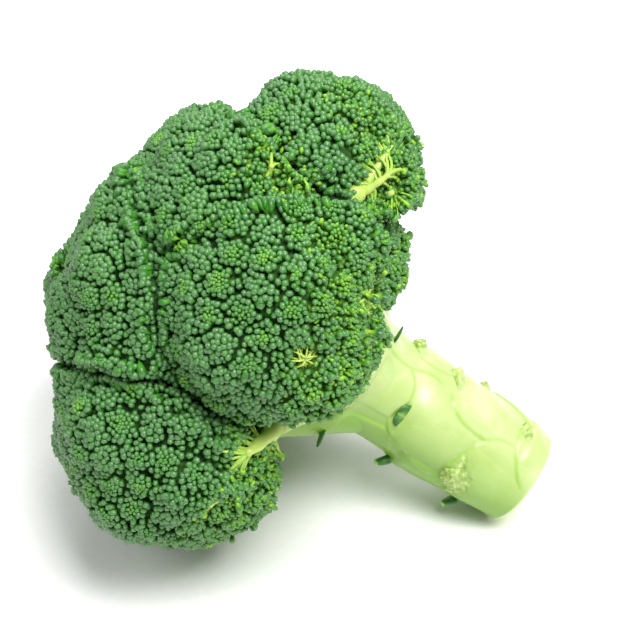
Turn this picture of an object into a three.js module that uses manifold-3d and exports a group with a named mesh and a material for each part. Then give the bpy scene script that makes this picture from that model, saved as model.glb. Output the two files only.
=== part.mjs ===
// A head of broccoli, lying on its side the way it rests on a table: a pale stalk that divides into
// branches, the florets that the branches carry, and the last small leaves on the stalk.
//
// Everything is modelled upright, as it grows, with the cut end of the stalk at z = 0 and the crown on
// top, and is then laid down. Sizes are in millimetres. A bearing is an angle in degrees round the
// stalk's axis, anticlockwise seen from above the crown, and 0 is the side that ends up on top.
import * as THREE from 'three';
import { ConvexHull } from 'three/addons/math/ConvexHull.js';
import { mergeVertices } from 'three/addons/utils/BufferGeometryUtils.js';
import Module from 'manifold-3d';

const wasm = await Module();
wasm.setup();

// How it lies: the stalk leans this far from upright, the table is z = 0, and the shift brings the
// middle of the outline over the origin.
const LEAN = 55;
const SHIFT = new THREE.Vector3(70.45, 0.25, 12.2);

const CLEARANCE = 0.35; // between one piece and the next

// Stalk
const CUT_RADIUS = 15.6; // at the knife cut
const STEM_TOP = 84; // where the stem has wholly divided into branches
const FLARE_START = 42;
const FLARE = 8; // how much wider the stem is at its top
const STEM_SIDES = 36;
const STEM_ROWS = 22;
const BRANCH_THICKNESS = 0.24; // a branch's radius near the floret, as a share of the floret's

// Each floret is covered with rounded clusters of buds.
const CLUSTER_SPACING = 9.5;
const CLUSTER_HEIGHT = 3.2;
const PLAIN_SPACING = 18; // between vertices on walls and undersides, which carry no clusters

// Florets. out and up place the floret's middle, lean is the angle between its axis and the stalk's,
// height and radius are those of its dome, and size is its share of the room between it and the next.
const FLORETS = [
  { name: 'front', bearing: -46, out: 39, up: 104, lean: 60, height: 36, radius: 36, size: 42 },
  { name: 'lower_left', bearing: -121, out: 43, up: 102, lean: 68, height: 36, radius: 36, size: 32 },
  { name: 'table_side', bearing: -162, out: 44, up: 100, lean: 76, height: 34, radius: 34, size: 35 },
  { name: 'table_back', bearing: 152, out: 46, up: 100, lean: 76, height: 36, radius: 36, size: 35 },
  { name: 'back', bearing: 104, out: 39, up: 105, lean: 68, height: 34, radius: 36, size: 34 },
  { name: 'back_right', bearing: 54, out: 29, up: 110, lean: 60, height: 26, radius: 27, size: 26 },
  { name: 'upper_right', bearing: 5, out: 47, up: 109, lean: 58, height: 29, radius: 28, size: 25 },
  { name: 'top_left', bearing: -80, out: 16, up: 119, lean: 16, height: 37, radius: 44, size: 54 },
  { name: 'top_right', bearing: -18, out: 31, up: 117, lean: 33, height: 33, radius: 37, size: 42 },
  { name: 'top_back', bearing: 82, out: 24, up: 114, lean: 26, height: 37, radius: 34, size: 33 },
  { name: 'top_table', bearing: 167, out: 24, up: 117, lean: 26, height: 37, radius: 36, size: 33 },
  { name: 'small_right', bearing: -12, out: 37, up: 90, lean: 84, height: 16, radius: 16, size: 14 },
];
const UNDERSIDE = 0.42; // depth of a floret below its rim, as a share of its radius
const DOMELETS = 7; // rounded parts that each floret's dome swells into
const CLUSTERS_WRAP = -0.42; // cosine of the angle from a floret's axis at which its clusters end
const CREASE_POWER = 14; // higher gives tighter creases between florets
const CROWDING = 5; // how far a dome swells beside the neighbour that it presses on

// Leaf scars on the stem: bearing and height of the scar, width in degrees and length of the swelling
// that runs from it towards the cut end, and how far the leaf's broken stem stands out.
const SCARS = [
  { bearing: -95, up: 22, width: 44, length: 26, swell: 1.8, stub: 1.5 },
  { bearing: -62, up: 46, width: 46, length: 30, swell: 1.4, stub: 0 },
  { bearing: 7, up: 35, width: 48, length: 30, swell: 1.8, stub: 2.2 },
  { bearing: 24, up: 49, width: 40, length: 26, swell: 1.4, stub: 2 },
  { bearing: 40, up: 23, width: 40, length: 22, swell: 1.4, stub: 1.6 },
  { bearing: -2, up: 8, width: 40, length: 14, swell: 1.4, stub: 0.8 },
  { bearing: -143, up: 38, width: 44, length: 26, swell: 1.5, stub: 0 },
  { bearing: 160, up: 47, width: 44, length: 26, swell: 1.4, stub: 1.6 },
  { bearing: 115, up: 33, width: 46, length: 28, swell: 1.6, stub: 1.8 },
  { bearing: 85, up: 12, width: 40, length: 18, swell: 1.4, stub: 1.4 },
];
const STUB_RADIUS = 3;

// Small leaves. out and up place the foot, rise is the angle at which the leaf stands up from the
// stalk's radius, and thickness is measured at the midrib.
const LEAVES = [
  { name: 'axil', bearing: -66, out: 16, up: 46, rise: 55, length: 4, width: 8, thickness: 1.2 },
  { name: 'edge', bearing: -143, out: 16, up: 37, rise: 34, length: 6.5, width: 4, thickness: 3 },
  { name: 'end', bearing: -145, out: 15, up: 12, rise: 26, length: 6.5, width: 4.4, thickness: 3 },
  { name: 'hanging', bearing: -113, out: 19.5, up: 65, rise: -15, length: 10, width: 3.2, thickness: 1.4 },
  { name: 'slender', bearing: -11, out: 18, up: 61.5, rise: 6, length: 9, width: 2.4, thickness: 1.1 },
];

const radians = THREE.MathUtils.degToRad;
const UP = new THREE.Vector3(0, 0, 1);

// A point at a bearing, a distance out from the stalk's axis, and a height.
function around(bearing, out, up) {
  const angle = radians(bearing);
  return new THREE.Vector3(out * Math.cos(angle), out * Math.sin(angle), up);
}

// ---- Solids

function solidFrom(geometry) {
  const bare = new THREE.BufferGeometry().setAttribute('position', geometry.getAttribute('position'));
  bare.setIndex(geometry.index);
  const merged = mergeVertices(bare, 1e-4);
  return new wasm.Manifold(
    new wasm.Mesh({
      numProp: 3,
      vertProperties: new Float32Array(merged.attributes.position.array),
      triVerts: new Uint32Array(merged.index.array),
    }),
  );
}

function geometryFrom(solid) {
  const { vertProperties, triVerts } = solid.getMesh();
  const geometry = new THREE.BufferGeometry();
  geometry.setAttribute('position', new THREE.BufferAttribute(new Float32Array(vertProperties), 3));
  geometry.setIndex(new THREE.BufferAttribute(new Uint32Array(triVerts), 1));
  geometry.computeVertexNormals();
  return geometry;
}

// The largest body of a solid, because a cut can leave crumbs.
function largestBody(solid) {
  return solid.decompose().sort((a, b) => b.volume() - a.volume())[0];
}

function joined(solids) {
  return solids.reduce((whole, piece) => whole.add(piece));
}

// A bar with a round section. sectionAt gives, for each share of its length, the section's middle and
// its two half axes: across, and over, which is the direction of travel crossed with across.
function bar(sides, steps, sectionAt) {
  const geometry = new THREE.CylinderGeometry(1, 1, 1, sides, steps);
  const place = geometry.getAttribute('position');
  for (let i = 0; i < place.count; i++) {
    const { middle, across, over } = sectionAt(0.5 - place.getY(i));
    middle.addScaledVector(across, place.getX(i)).addScaledVector(over, place.getZ(i));
    place.setXYZ(i, middle.x, middle.y, middle.z);
  }
  return solidFrom(geometry);
}

// ---- Stalk

// Radius of the stem without its swellings: nearly straight, then flaring into the branches.
function stemProfile(up) {
  const flare = THREE.MathUtils.smoothstep(up, FLARE_START, STEM_TOP);
  return CUT_RADIUS + 0.012 * up + FLARE * flare * flare;
}

// The swelling below one leaf scar: a teardrop, steep at the scar and fading towards the cut end.
function swelling(scar, bearing, up) {
  const below = (scar.up - up) / scar.length;
  const turn = THREE.MathUtils.euclideanModulo(bearing - scar.bearing + 180, 360) - 180;
  const aside = turn / (scar.width * (1 - 0.35 * THREE.MathUtils.clamp(below, 0, 1)));
  if (below < -0.08 || below > 1 || Math.abs(aside) > 1) return 0;
  const rise = THREE.MathUtils.smoothstep(below, -0.08, 0.12);
  const fade = 1 - THREE.MathUtils.smoothstep(below, 0.25, 1);
  return scar.swell * rise * fade * Math.sqrt(1 - aside * aside);
}

function stemRadius(bearing, up) {
  return stemProfile(up) + Math.max(...SCARS.map((scar) => swelling(scar, bearing, up)));
}

// The undivided stem: a unit cylinder whose rings are pushed out to the radius above.
function stemSolid(grow) {
  const height = STEM_TOP + grow;
  const geometry = new THREE.CylinderGeometry(1, 1, height, STEM_SIDES, STEM_ROWS);
  geometry.rotateX(Math.PI / 2).translate(0, 0, height / 2);
  const place = geometry.getAttribute('position');
  for (let i = 0; i < place.count; i++) {
    const [x, y, up] = [place.getX(i), place.getY(i), place.getZ(i)];
    const bearing = THREE.MathUtils.radToDeg(Math.atan2(y, x));
    const radius = stemRadius(bearing, up) + grow;
    place.setXYZ(i, x * radius, y * radius, up);
  }
  return solidFrom(geometry);
}

function floretMiddle(floret) {
  return around(floret.bearing, floret.out, floret.up);
}

function floretAxis(floret) {
  const lean = radians(floret.lean);
  return around(floret.bearing, Math.sin(lean), Math.cos(lean));
}

// The branch that carries a floret leaves the stem low, bends out and ends inside the floret.
function branchSolid(floret, grow) {
  const foot = around(floret.bearing, Math.min(4, 0.1 * floret.out), 0.5 * floret.up + 2);
  const bend = around(floret.bearing, 0.5 * floret.out, 0.74 * floret.up);
  const tip = floretMiddle(floret).addScaledVector(floretAxis(floret), grow - 0.08 * floret.radius);
  const curve = new THREE.QuadraticBezierCurve3(foot, bend, tip);
  const thick = BRANCH_THICKNESS * floret.radius;
  const across = around(floret.bearing + 90, 1, 0);
  return bar(8, 4, (along) => {
    const radius = THREE.MathUtils.lerp(1.25 * thick, 0.8 * thick, along) + grow;
    return {
      middle: curve.getPoint(along),
      across: across.clone().multiplyScalar(radius),
      over: curve.getTangent(along).cross(across).multiplyScalar(radius),
    };
  });
}

// What is left of a leaf's stem: a short tapering stump that points out and up.
function stubSolid(scar, grow) {
  const outward = around(scar.bearing, 0.8, 0.6);
  const across = around(scar.bearing + 90, 1, 0);
  const over = outward.clone().cross(across);
  const foot = around(scar.bearing, stemProfile(scar.up) - STUB_RADIUS, scar.up - 1);
  const length = STUB_RADIUS + scar.swell + scar.stub + grow;
  return bar(8, 1, (along) => {
    const radius = THREE.MathUtils.lerp(STUB_RADIUS + 0.8, STUB_RADIUS - 0.6, along) + grow;
    return {
      middle: foot.clone().addScaledVector(outward, along * length),
      across: across.clone().multiplyScalar(radius),
      over: over.clone().multiplyScalar(radius),
    };
  });
}

function stalkSolid(grow) {
  return joined([
    stemSolid(grow),
    ...FLORETS.map((floret) => branchSolid(floret, grow)),
    ...SCARS.filter((scar) => scar.stub > 0).map((scar) => stubSolid(scar, grow)),
  ]);
}

// ---- Small leaves

// A blunt blade, widest before its middle, whose foot stands in the stalk's skin.
function leafSolid(leaf) {
  const rise = radians(leaf.rise);
  const direction = around(leaf.bearing, Math.cos(rise), Math.sin(rise));
  const across = around(leaf.bearing + 90, 1, 0);
  const over = direction.clone().cross(across);
  const foot = around(leaf.bearing, leaf.out, leaf.up);
  return bar(10, 6, (along) => {
    const breadth = 0.25 + 0.75 * Math.sin(Math.PI * (0.2 + 0.75 * along));
    const curl = 0.12 * leaf.length * along * along;
    return {
      middle: foot.clone().addScaledVector(direction, along * leaf.length).addScaledVector(over, curl),
      across: across.clone().multiplyScalar((breadth * leaf.width) / 2),
      over: over.clone().multiplyScalar(((0.4 + 0.6 * breadth) * leaf.thickness) / 2),
    };
  });
}

// ---- Florets

// Directions spread evenly over a sphere, in a spiral from the floret's tip, as buds are set.
function directionsOver(floret, spacing) {
  const size = (floret.height + floret.radius) / 2;
  const count = Math.round((4 * Math.PI * size * size) / (0.866 * spacing * spacing));
  const golden = Math.PI * (3 - Math.sqrt(5));
  const turn = new THREE.Quaternion().setFromUnitVectors(UP, floretAxis(floret));
  return Array.from({ length: count }, (_, i) => {
    const height = 1 - (2 * (i + 0.5)) / count;
    const ring = Math.sqrt(1 - height * height);
    const direction = new THREE.Vector3(ring * Math.cos(i * golden), ring * Math.sin(i * golden), height);
    return direction.applyQuaternion(turn);
  });
}

// Half an ellipsoid above the rim and a flatter half below it, as a distance from the floret's middle.
function domeReach(floret, direction) {
  const axial = direction.dot(floretAxis(floret));
  const depth = axial > 0 ? floret.height : UNDERSIDE * floret.radius;
  return 1 / Math.hypot(axial / depth, Math.sqrt(Math.max(0, 1 - axial * axial)) / floret.radius);
}

// The balls that a floret's dome swells into, on a spiral round its axis.
function domelets(floret) {
  const turn = new THREE.Quaternion().setFromUnitVectors(UP, floretAxis(floret));
  return Array.from({ length: DOMELETS }, (_, k) => {
    const lean = radians(82 * Math.sqrt((k + 0.3) / DOMELETS));
    const bearing = 137.5 * k + floret.bearing;
    const direction = around(bearing, Math.sin(lean), Math.cos(lean)).applyQuaternion(turn);
    const reach = domeReach(floret, direction);
    return { middle: direction.multiplyScalar(0.56 * reach), radius: 0.48 * reach };
  });
}

// The walls where neighbouring florets press on each other. Each pair shares one plane.
function wallsOf(floret) {
  const middle = floretMiddle(floret);
  return FLORETS.filter((other) => other !== floret).map((other) => {
    const towards = floretMiddle(other).sub(middle);
    const share = floret.size / (floret.size + other.size);
    return { distance: towards.length() * share - CLEARANCE / 2, normal: towards.normalize() };
  });
}

// reach is the distance from a floret's middle to its skin, with the open dome raised by some height,
// and exposed tells where the dome is open rather than pressed against a neighbour.
function skinOf(floret) {
  const walls = wallsOf(floret);
  const balls = domelets(floret);
  const axis = floretAxis(floret);
  const openReach = (direction) => {
    const reaches = balls.map((ball) => {
      const along = direction.dot(ball.middle);
      const room = ball.radius ** 2 - ball.middle.lengthSq() + along * along;
      return room > 0 && along > 0 ? along + Math.sqrt(room) : 0;
    });
    return Math.max(0.95 * domeReach(floret, direction), ...reaches);
  };
  const wallReaches = (direction) =>
    walls
      .map(({ normal, distance }) => ({ distance, towards: direction.dot(normal) }))
      .filter(({ towards }) => towards > 1e-6)
      .map(({ distance, towards }) => distance / towards);
  return {
    reach(direction, raised) {
      const walled = wallReaches(direction);
      const open = openReach(direction);
      const crowded = CROWDING * THREE.MathUtils.smoothstep(open / Math.min(...walled), 0.68, 1);
      const limits = [open + crowded + raised, ...walled];
      const sum = limits.reduce((total, limit) => total + limit ** -CREASE_POWER, 0);
      return sum ** (-1 / CREASE_POWER);
    },
    exposed(direction) {
      const wrapped = direction.dot(axis) > CLUSTERS_WRAP;
      return wrapped && openReach(direction) < Math.min(...wallReaches(direction));
    },
  };
}

// The triangles that join directions on a sphere to their nearest neighbours, as corner numbers.
function trianglesOver(directions) {
  const numbers = new Map(directions.map((direction, i) => [direction, i]));
  return new ConvexHull().setFromPoints(directions).faces.map((face) => {
    const corners = [];
    let edge = face.edge;
    do {
      corners.push(numbers.get(edge.head().point));
      edge = edge.next;
    } while (edge !== face.edge);
    return corners;
  });
}

// A floret in one closed skin. Each cluster is a peak, a ring of shoulders and a ring of hollows that
// it shares with the clusters round it. Elsewhere the skin is the plain triangles.
function floretSolid(floret) {
  const { reach, exposed } = skinOf(floret);
  const middle = floretMiddle(floret);
  const clusters = directionsOver(floret, CLUSTER_SPACING).filter(exposed);
  const apart = Math.cos((0.62 * PLAIN_SPACING) / floret.radius);
  const plain = directionsOver(floret, PLAIN_SPACING)
    .filter((direction) => clusters.every((cluster) => cluster.dot(direction) < apart));
  const directions = [...clusters, ...plain];
  const isCluster = (i) => i < clusters.length;
  const triangles = trianglesOver(directions);

  const points = [];
  const pointAt = (direction, raised) => {
    points.push(direction.clone().multiplyScalar(reach(direction, raised)).add(middle));
    return points.length - 1;
  };
  const peaks = directions.map((direction, i) => pointAt(direction, isCluster(i) ? CLUSTER_HEIGHT : 0));
  const centres = triangles.map((corners) =>
    corners.some(isCluster)
      ? corners.reduce((sum, i) => sum.add(directions[i]), new THREE.Vector3()).normalize()
      : null);
  const hollows = centres.map((centre) => centre && pointAt(centre, 0));
  const shoulders = new Map();
  const shoulderOf = (i, triangle) => {
    const key = `${i},${triangle}`;
    if (!shoulders.has(key)) {
      const direction = directions[i].clone().lerp(centres[triangle], 0.6).normalize();
      shoulders.set(key, pointAt(direction, 0.74 * CLUSTER_HEIGHT));
    }
    return shoulders.get(key);
  };

  const triangleLeftOf = new Map();
  triangles.forEach((corners, triangle) =>
    corners.forEach((i, k) => triangleLeftOf.set(`${i},${corners[(k + 1) % 3]}`, triangle)));
  const faces = triangles.flatMap((corners, triangle) => {
    if (!centres[triangle]) return [corners.map((i) => peaks[i])];
    return corners.flatMap((i, k) => {
      const j = corners[(k + 1) % 3];
      const other = triangleLeftOf.get(`${j},${i}`);
      if (!centres[other]) return [[peaks[i], peaks[j], hollows[triangle]]];
      if (!isCluster(i)) return [[peaks[i], hollows[other], hollows[triangle]]];
      const near = shoulderOf(i, other);
      const far = shoulderOf(i, triangle);
      return [
        [peaks[i], near, far],
        [near, hollows[other], hollows[triangle]],
        [near, hollows[triangle], far],
      ];
    });
  });

  const geometry = new THREE.BufferGeometry().setFromPoints(points);
  geometry.setIndex(faces.flat());
  return solidFrom(geometry);
}

// ---- Laying it down

const lying = new THREE.Matrix4()
  .makeTranslation(SHIFT)
  .multiply(new THREE.Matrix4().makeRotationY(-radians(LEAN)));

// Everything below the table's surface, in the upright frame.
function tableSolid() {
  const block = new THREE.BoxGeometry(600, 600, 200).translate(0, 0, -100);
  return solidFrom(block.applyMatrix4(lying.clone().invert()));
}

const stalkSkin = new THREE.MeshStandardMaterial({ color: '#cfe695', roughness: 0.5, metalness: 0 });
const budSkin = new THREE.MeshStandardMaterial({ color: '#3f7d3a', roughness: 0.6, metalness: 0 });
const leafSkin = new THREE.MeshStandardMaterial({ color: '#2c5f22', roughness: 0.55, metalness: 0 });

const table = tableSolid();
const socket = stalkSolid(CLEARANCE);
const upright = new THREE.Group();
upright.applyMatrix4(lying);

function addPiece(name, solid, material) {
  const mesh = new THREE.Mesh(geometryFrom(largestBody(solid)), material);
  mesh.name = name;
  upright.add(mesh);
}

addPiece('stalk', stalkSolid(0).subtract(table), stalkSkin);
for (const floret of FLORETS) {
  addPiece(`floret_${floret.name}`, floretSolid(floret).subtract(socket).subtract(table), budSkin);
}
for (const leaf of LEAVES) {
  addPiece(`leaf_${leaf.name}`, leafSolid(leaf).subtract(socket), leafSkin);
}

const broccoli = new THREE.Group();
broccoli.add(upright);

export default broccoli;
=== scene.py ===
import math

import bpy
import numpy as np
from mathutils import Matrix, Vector


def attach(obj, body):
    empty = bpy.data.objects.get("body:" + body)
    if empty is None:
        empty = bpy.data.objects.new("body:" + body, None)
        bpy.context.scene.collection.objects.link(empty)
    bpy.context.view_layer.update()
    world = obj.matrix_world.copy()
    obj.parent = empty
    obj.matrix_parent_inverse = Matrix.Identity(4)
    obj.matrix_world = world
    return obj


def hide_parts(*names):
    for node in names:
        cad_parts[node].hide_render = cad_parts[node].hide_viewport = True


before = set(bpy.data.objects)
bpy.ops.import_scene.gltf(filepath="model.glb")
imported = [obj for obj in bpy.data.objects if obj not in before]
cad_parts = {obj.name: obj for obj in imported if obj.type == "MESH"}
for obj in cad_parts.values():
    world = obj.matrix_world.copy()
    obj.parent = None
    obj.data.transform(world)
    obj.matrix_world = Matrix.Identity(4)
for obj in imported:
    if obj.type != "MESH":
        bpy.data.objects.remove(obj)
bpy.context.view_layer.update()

# ---- Stalk
# The thick pale stem of the head, a living thing of one piece: juicy flesh under a smooth waxy
# skin, cut square across with a knife. It flares into the branches that carry the florets, and
# the pads below its leaves still stand proud of it, each with the scar where the leaf broke off.

# The head is worked out upright, in millimetres, with the cut end at height 0 and the crown on
# top, and is then laid over by LEAN degrees. A bearing is in degrees round the stalk's axis, and
# 0 is the side that ends up on top.
LEAN = 55
CUT_END = (70.45, 0.25, 12.2)


def around(bearing, out, up):
    """Points on a bearing, a distance out from the axis and a height: (out cos, out sin, up)."""
    turn = np.radians(bearing)
    return np.stack(np.broadcast_arrays(out * np.cos(turn), out * np.sin(turn), up), axis=-1)


def place_of(thing):
    """The point that something's own bearing, distance out and height give."""
    return around(thing["bearing"], thing["out"], thing["up"])


def laid(points):
    """Upright points in millimetres, turned over about Y by the lean, moved to where the cut end
    lies, pressed flat where they would be under the table, and given in metres."""
    sin, cos = math.sin(math.radians(LEAN)), math.cos(math.radians(LEAN))
    x, y, z = points[..., 0], points[..., 1], points[..., 2]
    turned = np.stack([x * cos - z * sin, y, x * sin + z * cos], axis=-1) + CUT_END
    turned[..., 2] = np.maximum(turned[..., 2], 0)
    return turned * 0.001


def smoothstep(low, high, value):
    """0 below low, 1 above high, and 3t^2 - 2t^3 between them."""
    share = np.clip((value - low) / (high - low), 0, 1)
    return share * share * (3 - 2 * share)


def unit(vectors):
    """Vectors divided by their lengths."""
    return vectors / np.maximum(np.linalg.norm(vectors, axis=-1, keepdims=True), 1e-9)


CUT_RADIUS = 15.6
DEGREE = math.radians(1) * CUT_RADIUS  # how many millimetres of the skin a degree is
STEM_TOP = 84
FLARE_START = 42
FLARE = 8

# The scars of leaves: where, how wide in degrees and long the pad below is, how far it swells, how
# long the broken stem is, and which of the arch's points its border shows.
SCARS = [
    dict(bearing=-95, up=22, width=44, length=26, swell=1.8, stub=1.5),
    dict(bearing=-62, up=46, width=46, length=30, swell=1.4, stub=0),
    dict(bearing=7, up=35, width=48, length=30, swell=1.8, stub=2.2),
    dict(bearing=24, up=49, width=40, length=26, swell=1.4, stub=2, arch=(5, 10)),
    dict(bearing=40, up=23, width=40, length=22, swell=1.4, stub=1.6, arch=(5, 10)),
    dict(bearing=-2, up=8, width=40, length=14, swell=1.4, stub=0.8),
    dict(bearing=-143, up=38, width=44, length=26, swell=1.5, stub=0, arch=(0, 6)),
    dict(bearing=160, up=47, width=44, length=26, swell=1.4, stub=1.6, arch=(0, 10)),
    dict(bearing=115, up=33, width=46, length=28, swell=1.6, stub=1.8, arch=(0, 10)),
    dict(bearing=85, up=12, width=40, length=18, swell=1.4, stub=1.4, arch=(0, 10)),
]

FLORETS = [  # their middles, the lean of their axes, their domes, and their share of the room
    dict(name="front", bearing=-46, out=39, up=104, lean=60, height=36, radius=36, size=42),
    dict(name="lower_left", bearing=-121, out=43, up=102, lean=68, height=36, radius=36, size=32),
    dict(name="table_side", bearing=-162, out=44, up=100, lean=76, height=34, radius=34, size=35),
    dict(name="table_back", bearing=152, out=46, up=100, lean=76, height=36, radius=36, size=35),
    dict(name="back", bearing=104, out=39, up=105, lean=68, height=34, radius=36, size=34),
    dict(name="back_right", bearing=54, out=29, up=110, lean=60, height=26, radius=27, size=26),
    dict(name="upper_right", bearing=5, out=47, up=109, lean=58, height=29, radius=28, size=25),
    dict(name="top_left", bearing=-80, out=16, up=119, lean=16, height=37, radius=44, size=54),
    dict(name="top_right", bearing=-18, out=31, up=117, lean=33, height=33, radius=37, size=42),
    dict(name="top_back", bearing=82, out=24, up=114, lean=26, height=37, radius=34, size=33),
    dict(name="top_table", bearing=167, out=24, up=117, lean=26, height=37, radius=36, size=33),
    dict(name="small_right", bearing=-12, out=37, up=90, lean=84, height=16, radius=16, size=14),
]
BRANCH_THICKNESS = 0.24


def stem_profile(up):
    """The stem's radius without pads: nearly straight, with a squared smoothstep for the flare."""
    return CUT_RADIUS + 0.012 * up + FLARE * smoothstep(FLARE_START, STEM_TOP, up) ** 2


def turn_from(bearing, start):
    """The turn in degrees from one bearing to another, from -180 to 180."""
    return (bearing - start + 180) % 360 - 180


def swelling(scar, bearing, up):
    """The pad below a leaf scar: half an ellipse across, steep at the scar and fading below it."""
    below = (scar["up"] - up) / scar["length"]
    aside = turn_from(bearing, scar["bearing"]) / (scar["width"] * (1 - 0.35 * np.clip(below, 0, 1)))
    rise = smoothstep(-0.08, 0.12, below) * (1 - smoothstep(0.25, 1, below))
    return scar["swell"] * rise * np.sqrt(np.maximum(0, 1 - aside**2))


def bezier(start, bend, end, along):
    """A curve from start to end that a bend pulls aside, with its slope: a quadratic Bezier."""
    t = np.asarray(along)[..., None]
    place = (1 - t) ** 2 * start + 2 * t * (1 - t) * bend + t**2 * end
    slope = 2 * (1 - t) * (bend - start) + 2 * t * (end - bend)
    return place, slope


def axis_of(floret):
    """The way a floret points, leaning out from the stalk's axis on its bearing."""
    lean = math.radians(floret["lean"])
    return around(floret["bearing"], math.sin(lean), math.cos(lean))


def branch_points(floret):
    """A branch leaves the stem low, bends out and ends inside its floret: foot, bend and tip."""
    bearing, out, up = floret["bearing"], floret["out"], floret["up"]
    return (
        around(bearing, min(4, 0.1 * out), 0.5 * up + 2),
        around(bearing, 0.5 * out, 0.74 * up),
        place_of(floret) - 0.08 * floret["radius"] * axis_of(floret),
    )


def branch_radius(floret, along):
    """A branch's radius, which tapers along it."""
    return BRANCH_THICKNESS * floret["radius"] * (1.25 - 0.45 * along)


def branch_bulge(floret, bearing, up):
    """How far out a branch's skin is where a level plane cuts it: the plane cuts an ellipse, as
    wide as the branch and longer by its slope, and a ray from the axis leaves it at the far root
    of a quadratic."""
    foot, bend, tip = (np.array([math.hypot(p[0], p[1]), p[2]]) for p in branch_points(floret))
    a, b, c = foot[1] - 2 * bend[1] + tip[1], 2 * (bend[1] - foot[1]), foot[1] - up
    along = np.clip((-b + np.sqrt(np.maximum(b * b - 4 * a * c, 0))) / (2 * a), 0, 1)
    place, slope = bezier(foot, bend, tip, along)
    thick = branch_radius(floret, along)
    long = thick * np.hypot(slope[..., 0], slope[..., 1]) / slope[..., 1]
    turn = np.radians(turn_from(bearing, floret["bearing"]))
    out = place[..., 0]
    p = (np.cos(turn) / long) ** 2 + (np.sin(turn) / thick) ** 2
    q = out * np.cos(turn) / long**2
    room = q * q - p * ((out / long) ** 2 - 1)
    inside = (room > 0) & (q > 0)
    begun = smoothstep(foot[1] - 2, foot[1] + 10, up)
    return np.where(inside, begun * (q + np.sqrt(np.maximum(room, 0))) / p, 0)


# The borders of the leaf pads and branch feet, as bearing and height along each line. The skin on
# the left of the line stands proud by the lift, and the line itself is a fine sunken groove.
SEAMS = [
    dict(line=[(-41, 20), (-41, 22.7), (-39, 30.1), (-31, 35.1), (-13, 38)], lift=-1.0),
    dict(line=[(-97, 26.4), (-75, 25.4), (-59, 23.6), (-46, 22.2), (-32, 17.5), (-26, 9)], lift=-1.1),
    dict(line=[(14, 6.5), (8, 8.1), (-6, 11.4), (-27, 10.8), (-44, 8.5), (-58, 5.3), (-68, 1)], lift=0.9),
    dict(line=[(-80, 50), (-69, 49.8), (-50, 48.2), (-30, 50), (-20, 54)], lift=0.9),
    dict(line=[(-76, 50), (-89, 48.3), (-100, 41.4), (-111, 34), (-114, 26)], lift=0.9),
    dict(line=[(-94, 66), (-92, 57), (-90, 50), (-84, 46)], lift=-0.6),
    dict(line=[(-20, 66), (-21, 57), (-19, 52), (-13, 46.7), (-13, 40)], lift=-0.8),
    dict(line=[(10, 52), (3, 50), (-2, 46.7), (0, 41), (6, 37)], lift=-0.8),
    dict(line=[(35, 24), (29, 16.2), (20, 11.3), (9, 8.3)], lift=0.8),
]
# Pads on the sides that lie away have the usual shape, an arch over the scar.
HALF_ARCH = [(-44, -20), (-42, -13), (-38, -5.5), (-28, -0.5), (-10, 2.2)]
ARCH = HALF_ARCH + [(-turn, rise) for turn, rise in reversed(HALF_ARCH)]
for scar in SCARS:
    if "arch" in scar:
        shown = ARCH[slice(*scar["arch"])]
        line = [(scar["bearing"] + turn, max(scar["up"] + rise, 1)) for turn, rise in shown]
        SEAMS.append(dict(line=line, lift=-0.8))
LIFT_SHARE = 0.75
LIFT_REACH = 12
GROOVE_WIDTH = 0.55
GROOVE_DEPTH = 0.16
SEAM_POINTS = 28


def eased(corners, count):
    """A line through its corners with a rounded course: Catmull-Rom pieces, as one array."""
    p = np.array(corners, float)
    p = np.vstack([2 * p[0] - p[1], p, 2 * p[-1] - p[-2]])
    at = np.linspace(0, len(p) - 3 - 1e-6, count)
    i, t = at.astype(int), (at % 1)[:, None]
    a, b, c, d = p[i], p[i + 1], p[i + 2], p[i + 3]
    straight = 2 * b + (c - a) * t
    return 0.5 * (straight + (2 * a - 5 * b + 4 * c - d) * t**2 + (3 * b - a - 3 * c + d) * t**3)


def seam_relief(seam, bearing, up):
    """The lift and the groove of one border, from the distance to the nearest stretch of its line
    on the unrolled skin. Both fade towards the line's ends. Gives the height and the groove."""
    line = eased(seam["line"], SEAM_POINTS)
    x = turn_from(bearing, line[0, 0])[..., None] * DEGREE
    ends = np.stack([turn_from(line[:, 0], line[0, 0]) * DEGREE, line[:, 1]], axis=-1)
    start, step = ends[:-1], np.diff(ends, axis=0)
    from_x, from_y = x - start[:, 0], up[..., None] - start[:, 1]
    length = np.hypot(step[:, 0], step[:, 1])
    share = np.clip((from_x * step[:, 0] + from_y * step[:, 1]) / length**2, 0, 1)
    aside_x, aside_y = from_x - share * step[:, 0], from_y - share * step[:, 1]
    away = np.hypot(aside_x, aside_y)
    nearest = np.argmin(away, axis=-1)[..., None]
    side = np.sign(step[:, 0] * aside_y - step[:, 1] * aside_x)
    progress = (np.arange(len(step)) + share) / len(step)
    distance, side, along = (
        np.take_along_axis(values, nearest, axis=-1)[..., 0] for values in (away, side, progress)
    )
    fade = smoothstep(0, 0.12, along) * smoothstep(0, 0.12, 1 - along)
    proud = smoothstep(-0.6, 0.6, distance * side * np.sign(seam["lift"]))
    groove = fade * np.exp(-((distance / GROOVE_WIDTH) ** 2))
    height = LIFT_SHARE * fade * abs(seam["lift"]) * proud * np.exp(-distance / LIFT_REACH)
    return height - GROOVE_DEPTH * groove, 0.6 * groove


# The largest scar is a torn patch of the skin round its stump, with a tail on one side.
TORN = dict(bearing=-97, up=20.4, across=5.2, along=4.0, tail=(-66, 23.8))


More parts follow.
